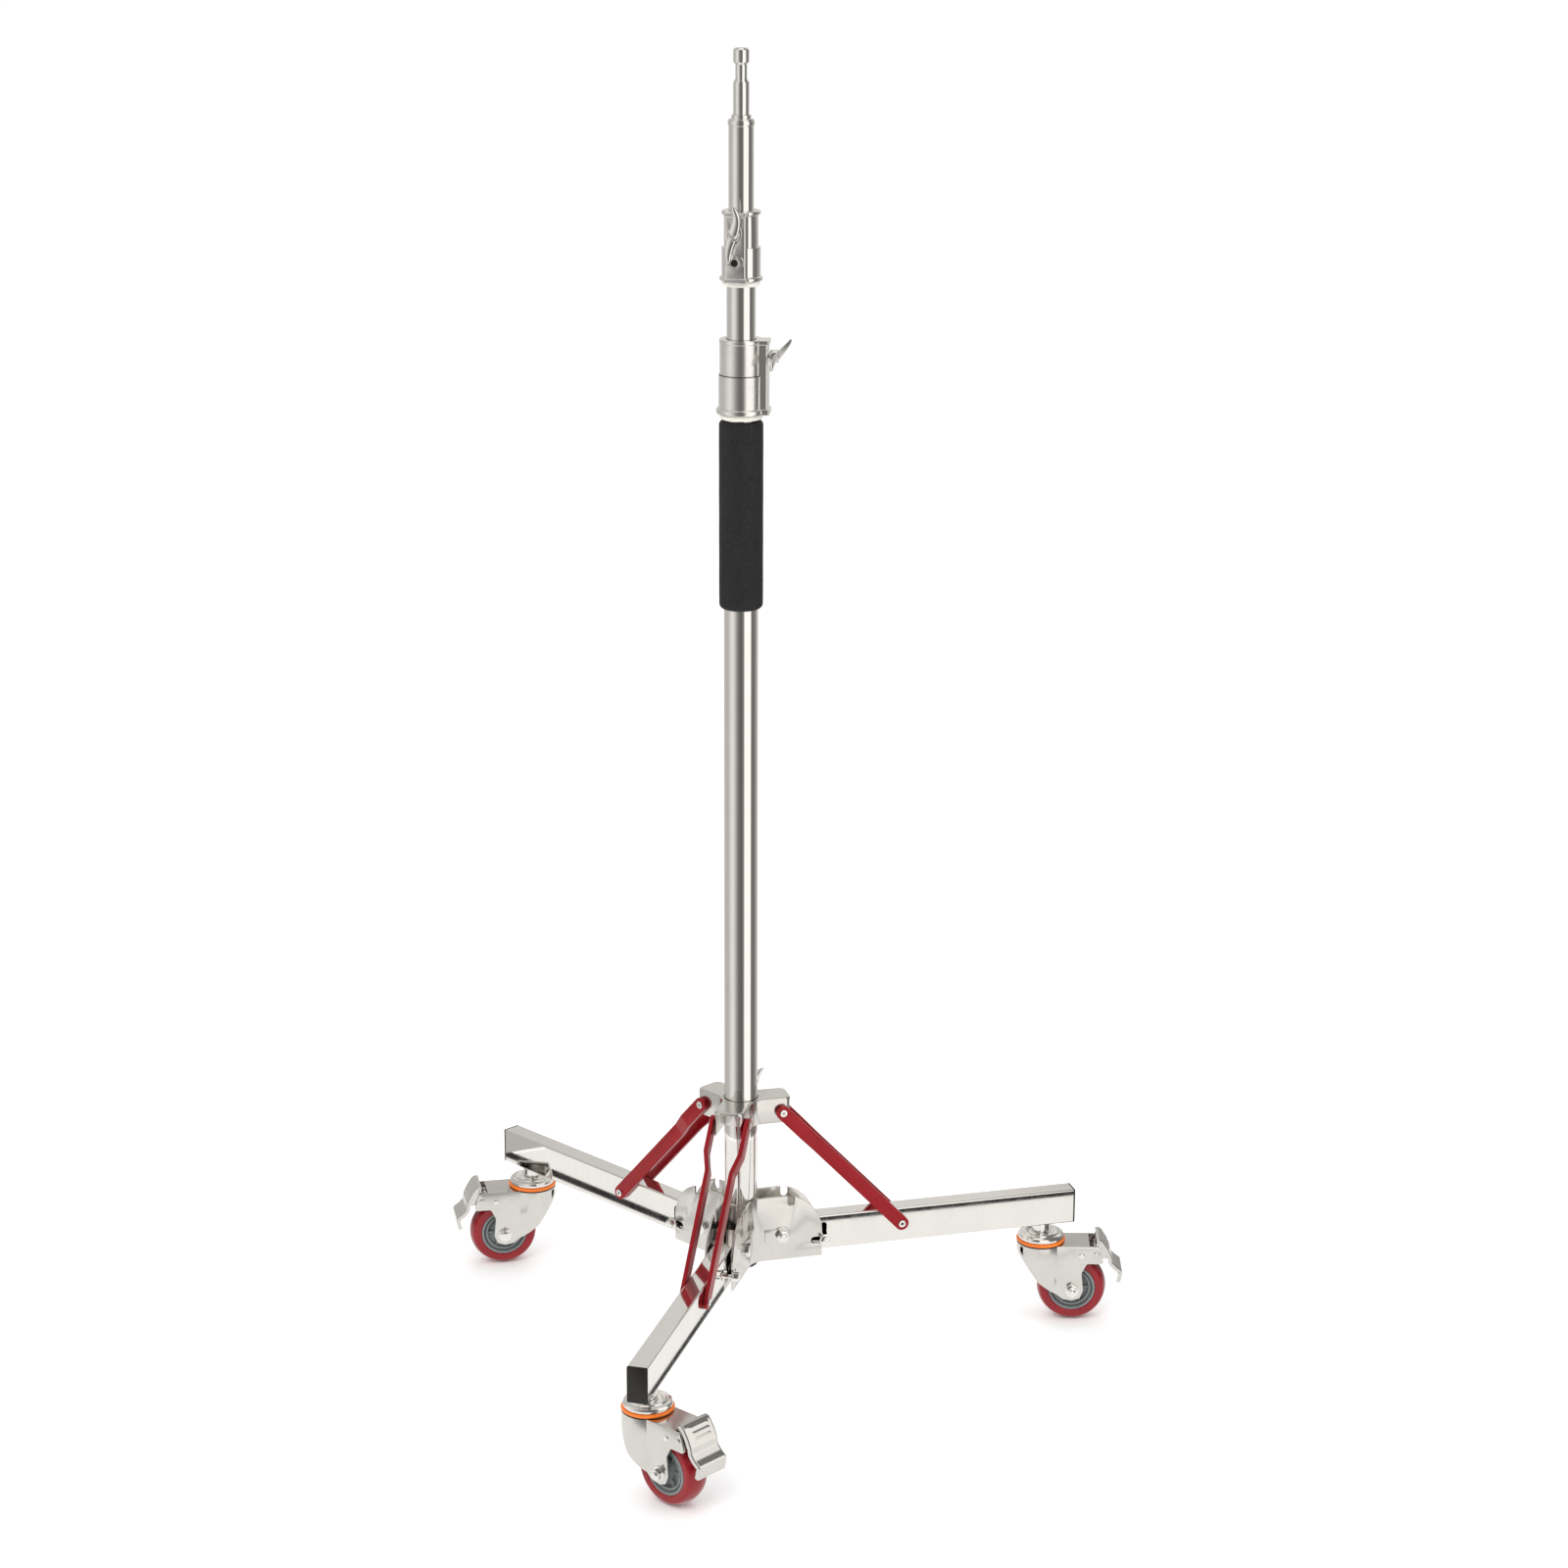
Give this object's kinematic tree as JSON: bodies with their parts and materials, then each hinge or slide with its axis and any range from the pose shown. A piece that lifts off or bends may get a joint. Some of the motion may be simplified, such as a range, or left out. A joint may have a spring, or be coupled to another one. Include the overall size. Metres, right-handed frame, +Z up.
{
  "type": "rolling light stand",
  "caption": "Stainless telescoping light stand on a folding three-leg base with braked casters, red braces, clamp collars and a top stud.",
  "frame": {"origin": "on the column axis at floor level", "axes": "+Z up along the column; +X along leg a; legs b and c at 120 and 240 degrees about +Z"},
  "size_m": [0.6893, 0.7071, 1.374],
  "materials": {
    "polished_steel": "mirror-polished stainless tube",
    "cast_steel": "satin, fine cast grain",
    "pressed_steel": "satin pressed sheet",
    "plated_fastener": "bright plated",
    "red_anodised": "dark red, satin",
    "black_foam": "matt closed-cell foam",
    "black_plastic": "moulded, matt",
    "white_nylon": "turned nylon",
    "orange_seal": "moulded, semi-gloss",
    "red_tyre": "cast polyurethane, semi-gloss",
    "grey_core": "moulded, semi-gloss"
  },
  "bodies": {
    "mast": {"column_tube": "polished_steel", "column_foot_plug": "black_plastic", "foam_grip": "black_foam", "hub_sleeve": "cast_steel", "bracket_wing_a": "pressed_steel", "bracket_wing_b": "pressed_steel", "bracket_wing_c": "pressed_steel", "pivot_bolts": "plated_fastener", "lower_collar": "cast_steel", "lower_collar_bush": "white_nylon"},
    "riser_1": {"riser_1_tube": "polished_steel", "riser_1_foot_guide": "white_nylon", "upper_collar": "plated_fastener", "upper_collar_bush": "white_nylon"},
    "riser_2": {"riser_2_tube": "polished_steel", "riser_2_foot_guide": "white_nylon", "riser_2_cap": "plated_fastener", "stud": "cast_steel"},
    "lower_lever": {"lower_clamp_lever": "cast_steel"},
    "upper_lever": {"upper_clamp_lever": "cast_steel"},
    "spider": {"spider": "cast_steel", "spider_bush": "white_nylon"},
    "spider_lever": {"spider_clamp_lever": "cast_steel"},
    "leg_a": {"leg_a_tube": "polished_steel", "leg_a_end_plugs": "black_plastic", "caster_a_stem": "plated_fastener"},
    "latch_a": {"latch_pin_a": "plated_fastener"},
    "brace_a": {"brace_a_bars": "red_anodised", "brace_a_rivets": "plated_fastener"},
    "fork_a": {"caster_a_seal": "orange_seal", "caster_a_fork": "pressed_steel", "caster_a_axle": "plated_fastener"},
    "wheel_a": {"caster_a_tyre": "red_tyre", "caster_a_core": "grey_core"},
    "pedal_a": {"caster_a_pedal": "pressed_steel"},
    "leg_b": {"leg_b_tube": "polished_steel", "leg_b_end_plugs": "black_plastic", "caster_b_stem": "plated_fastener"},
    "latch_b": {"latch_pin_b": "plated_fastener"},
    "brace_b": {"brace_b_bars": "red_anodised", "brace_b_rivets": "plated_fastener"},
    "fork_b": {"caster_b_seal": "orange_seal", "caster_b_fork": "pressed_steel", "caster_b_axle": "plated_fastener"},
    "wheel_b": {"caster_b_tyre": "red_tyre", "caster_b_core": "grey_core"},
    "pedal_b": {"caster_b_pedal": "pressed_steel"},
    "leg_c": {"leg_c_tube": "polished_steel", "leg_c_end_plugs": "black_plastic", "caster_c_stem": "plated_fastener"},
    "latch_c": {"latch_pin_c": "plated_fastener"},
    "brace_c": {"brace_c_bars": "red_anodised", "brace_c_rivets": "plated_fastener"},
    "fork_c": {"caster_c_seal": "orange_seal", "caster_c_fork": "pressed_steel", "caster_c_axle": "plated_fastener"},
    "wheel_c": {"caster_c_tyre": "red_tyre", "caster_c_core": "grey_core"},
    "pedal_c": {"caster_c_pedal": "pressed_steel"}
  },
  "joints": [
    {"name": "riser_1_slide", "type": "slide", "parent": "mast", "child": "riser_1", "axis": [0, 0, 1], "range_m": [-0.052, 0.7]},
    {"name": "riser_2_slide", "type": "slide", "parent": "riser_1", "child": "riser_2", "axis": [0, 0, 1], "range_m": [-0.08, 0.68]},
    {"name": "lower_lever_turn", "type": "hinge", "parent": "mast", "child": "lower_lever", "pos_m": [0.02567, -0.00986, 1.074], "axis": [0.9336, -0.3584, 0], "range_deg": [0, 180]},
    {"name": "upper_lever_turn", "type": "hinge", "parent": "riser_1", "child": "upper_lever", "pos_m": [-0.01193, -0.02197, 1.197], "axis": [-0.4772, -0.8788, 0], "range_deg": [0, 180]},
    {"name": "spider_lever_turn", "type": "hinge", "parent": "spider", "child": "spider_lever", "pos_m": [0.017, 0.02944, 0.275], "axis": [0.5, 0.866, 0], "range_deg": [-10, 20]},
    {"name": "leg_a_fold", "type": "hinge", "parent": "mast", "child": "leg_a", "pos_m": [0.041, 0, 0.133], "axis": [0, -1, 0], "range_deg": [0, 90]},
    {"name": "leg_b_fold", "type": "hinge", "parent": "mast", "child": "leg_b", "pos_m": [-0.0205, 0.03551, 0.133], "axis": [0.866, 0.5, 0], "range_deg": [0, 90]},
    {"name": "leg_c_fold", "type": "hinge", "parent": "mast", "child": "leg_c", "pos_m": [-0.0205, -0.03551, 0.133], "axis": [-0.866, 0.5, 0], "range_deg": [0, 90]},
    {"name": "spider_slide", "type": "slide", "parent": "mast", "child": "spider", "axis": [0, 0, 1], "range_m": [0, 0.1884]},
    {"name": "brace_a_turn", "type": "hinge", "parent": "leg_a", "child": "brace_a", "pos_m": [0.1748, 0, 0.1315], "axis": [0, -1, 0], "range_deg": [-132.86, 0]},
    {"name": "latch_a_slide", "type": "slide", "parent": "leg_a", "child": "latch_a", "axis": [1, 0, 0], "range_m": [-0.01152, 0]},
    {"name": "caster_a_swivel", "type": "hinge", "parent": "leg_a", "child": "fork_a", "pos_m": [0.338, 0, 0.091], "axis": [0, 0, 1], "continuous": true},
    {"name": "wheel_a_spin", "type": "hinge", "parent": "fork_a", "child": "wheel_a", "pos_m": [0.37105, -0.00989, 0.0375], "axis": [0.2865, 0.9581, 0], "continuous": true},
    {"name": "brake_a_press", "type": "hinge", "parent": "fork_a", "child": "pedal_a", "pos_m": [0.39548, -0.01719, 0.08], "axis": [0.2865, 0.9581, 0], "range_deg": [0, 12]},
    {"name": "brace_b_turn", "type": "hinge", "parent": "leg_b", "child": "brace_b", "pos_m": [-0.0874, 0.15138, 0.1315], "axis": [0.866, 0.5, 0], "range_deg": [-132.86, 0]},
    {"name": "latch_b_slide", "type": "slide", "parent": "leg_b", "child": "latch_b", "axis": [-0.5, 0.866, 0], "range_m": [-0.01152, 0]},
    {"name": "caster_b_swivel", "type": "hinge", "parent": "leg_b", "child": "fork_b", "pos_m": [-0.169, 0.29272, 0.091], "axis": [0, 0, 1], "continuous": true},
    {"name": "wheel_b_spin", "type": "hinge", "parent": "fork_b", "child": "wheel_b", "pos_m": [-0.20344, 0.29479, 0.0375], "axis": [-0.0602, -0.9982, 0], "continuous": true},
    {"name": "brake_b_press", "type": "hinge", "parent": "fork_b", "child": "pedal_b", "pos_m": [-0.22889, 0.29633, 0.08], "axis": [-0.0602, -0.9982, 0], "range_deg": [0, 12]},
    {"name": "brace_c_turn", "type": "hinge", "parent": "leg_c", "child": "brace_c", "pos_m": [-0.0874, -0.15138, 0.1315], "axis": [-0.866, 0.5, 0], "range_deg": [-132.86, 0]},
    {"name": "latch_c_slide", "type": "slide", "parent": "leg_c", "child": "latch_c", "axis": [-0.5, -0.866, 0], "range_m": [-0.01152, 0]},
    {"name": "caster_c_swivel", "type": "hinge", "parent": "leg_c", "child": "fork_c", "pos_m": [-0.169, -0.29272, 0.091], "axis": [0, 0, 1], "continuous": true},
    {"name": "wheel_c_spin", "type": "hinge", "parent": "fork_c", "child": "wheel_c", "pos_m": [-0.15059, -0.32189, 0.0375], "axis": [0.8457, 0.5336, 0], "continuous": true},
    {"name": "brake_c_press", "type": "hinge", "parent": "fork_c", "child": "pedal_c", "pos_m": [-0.13698, -0.34346, 0.08], "axis": [0.8457, 0.5336, 0], "range_deg": [0, 12]}
  ],
  "couplings": [
    {"joint": "leg_b_fold", "follows": "leg_a_fold", "ratio": 1},
    {"joint": "leg_c_fold", "follows": "leg_a_fold", "ratio": 1},
    {"joint": "spider_slide", "follows": "leg_a_fold", "m_per_rad": 0.11994},
    {"joint": "brace_a_turn", "follows": "leg_a_fold", "ratio": -1.4762},
    {"joint": "brace_b_turn", "follows": "leg_a_fold", "ratio": -1.4762},
    {"joint": "brace_c_turn", "follows": "leg_a_fold", "ratio": -1.4762}
  ]
}
